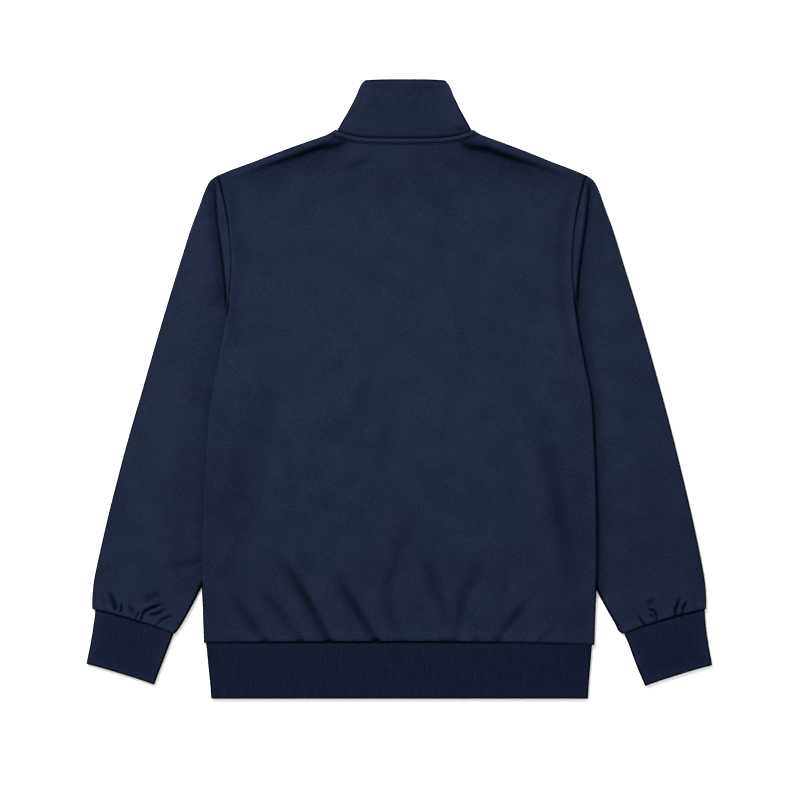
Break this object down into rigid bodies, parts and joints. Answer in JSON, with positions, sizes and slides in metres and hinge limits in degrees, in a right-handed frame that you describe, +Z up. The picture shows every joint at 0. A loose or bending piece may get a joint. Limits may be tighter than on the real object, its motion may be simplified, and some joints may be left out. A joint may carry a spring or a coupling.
{
  "type": "track jacket laid flat",
  "caption": "Long-sleeved zip jacket with stand collar, rib cuffs and rib hem band, laid flat with its back up on the surface it rests on; its zip pull tab is hinged.",
  "frame": {"origin": "middle of the garment's outline, on the surface it lies on", "axes": "+Z up out of the back panel, +Y towards the collar, +X to the right as seen from above"},
  "size_m": [0.7712, 0.7646, 0.0079],
  "materials": {
    "body_cloth": "smooth navy tricot knit with a faint sheen",
    "rib_knit": "matt dark navy rib knit",
    "zip_tape": "matt navy woven tape",
    "zip_teeth": "moulded navy plastic",
    "zip_metal": "dark painted metal"
  },
  "bodies": {
    "garment": {"back": "body_cloth", "front_left": "body_cloth", "front_right": "body_cloth", "sleeve_left": "body_cloth", "sleeve_right": "body_cloth", "collar": "body_cloth", "cuff_left": "rib_knit", "cuff_right": "rib_knit", "hem_band": "rib_knit", "zip_tape_left": "zip_tape", "zip_tape_right": "zip_tape", "zip_chain": "zip_teeth", "zip_box": "zip_metal", "zip_slider": "zip_metal"},
    "tab": {"pull_tab": "zip_metal"}
  },
  "joints": [
    {"name": "tab_hinge", "type": "hinge", "parent": "garment", "child": "tab", "pos_m": [-0.0045, 0.2934, 0.0015], "axis": [1, 0, 0], "range_deg": [0, 140]}
  ]
}
